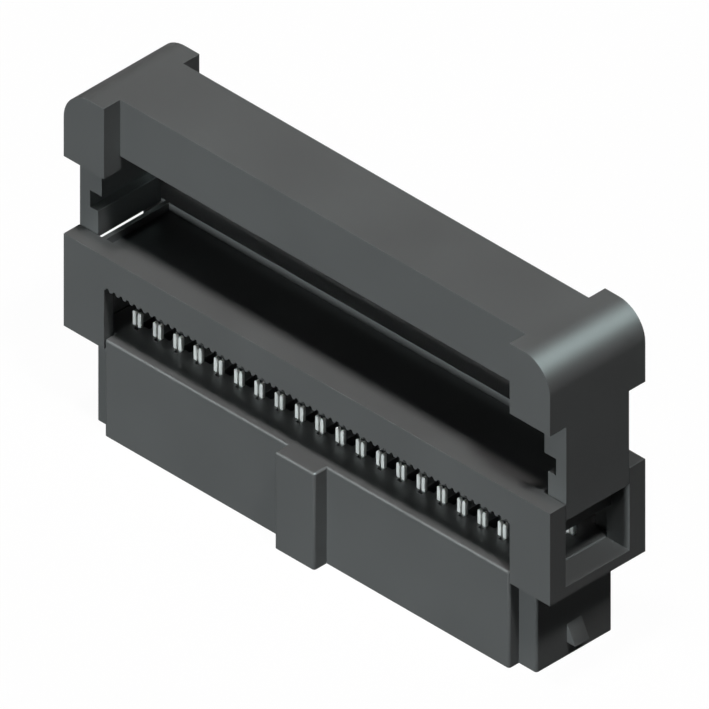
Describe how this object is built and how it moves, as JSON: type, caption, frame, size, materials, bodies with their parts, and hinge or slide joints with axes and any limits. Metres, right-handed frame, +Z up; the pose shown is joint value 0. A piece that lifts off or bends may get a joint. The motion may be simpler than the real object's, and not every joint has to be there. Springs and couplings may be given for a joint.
{
  "type": "ribbon cable socket connector",
  "caption": "Two-row insulation-displacement socket for flat ribbon cable, black moulded, shown open: keyed base with contacts, raised wire cover, strain relief.",
  "frame": {"origin": "centre of the mating face, midway between the two contact rows and between the two ends", "axes": "+X along the contact rows, -Y the keyed front, +Z up from the mating face to the strain relief"},
  "size_m": [0.0304, 0.0068, 0.0177],
  "materials": {
    "black_plastic": "satin moulded glass-filled plastic",
    "contact_metal": "satin tin plating"
  },
  "bodies": {
    "base": {"base_housing": "black_plastic", "contact_front_01": "contact_metal", "contact_front_02": "contact_metal", "contact_front_03": "contact_metal", "contact_front_04": "contact_metal", "contact_front_05": "contact_metal", "contact_front_06": "contact_metal", "contact_front_07": "contact_metal", "contact_front_08": "contact_metal", "contact_front_09": "contact_metal", "contact_front_10": "contact_metal", "contact_front_11": "contact_metal", "contact_front_12": "contact_metal", "contact_front_13": "contact_metal", "contact_front_14": "contact_metal", "contact_front_15": "contact_metal", "contact_front_16": "contact_metal", "contact_front_17": "contact_metal", "contact_front_18": "contact_metal", "contact_front_19": "contact_metal", "contact_front_20": "contact_metal", "contact_rear_01": "contact_metal", "contact_rear_02": "contact_metal", "contact_rear_03": "contact_metal", "contact_rear_04": "contact_metal", "contact_rear_05": "contact_metal", "contact_rear_06": "contact_metal", "contact_rear_07": "contact_metal", "contact_rear_08": "contact_metal", "contact_rear_09": "contact_metal", "contact_rear_10": "contact_metal", "contact_rear_11": "contact_metal", "contact_rear_12": "contact_metal", "contact_rear_13": "contact_metal", "contact_rear_14": "contact_metal", "contact_rear_15": "contact_metal", "contact_rear_16": "contact_metal", "contact_rear_17": "contact_metal", "contact_rear_18": "contact_metal", "contact_rear_19": "contact_metal", "contact_rear_20": "contact_metal"},
    "cover": {"wire_cover": "black_plastic"},
    "relief": {"strain_relief": "black_plastic"}
  },
  "joints": [
    {"name": "cover_press", "type": "slide", "parent": "base", "child": "cover", "axis": [0, 0, -1], "range_m": [0, 0.00181]},
    {"name": "relief_press", "type": "slide", "parent": "cover", "child": "relief", "axis": [0, 0, -1], "range_m": [0, 0.00358]}
  ]
}
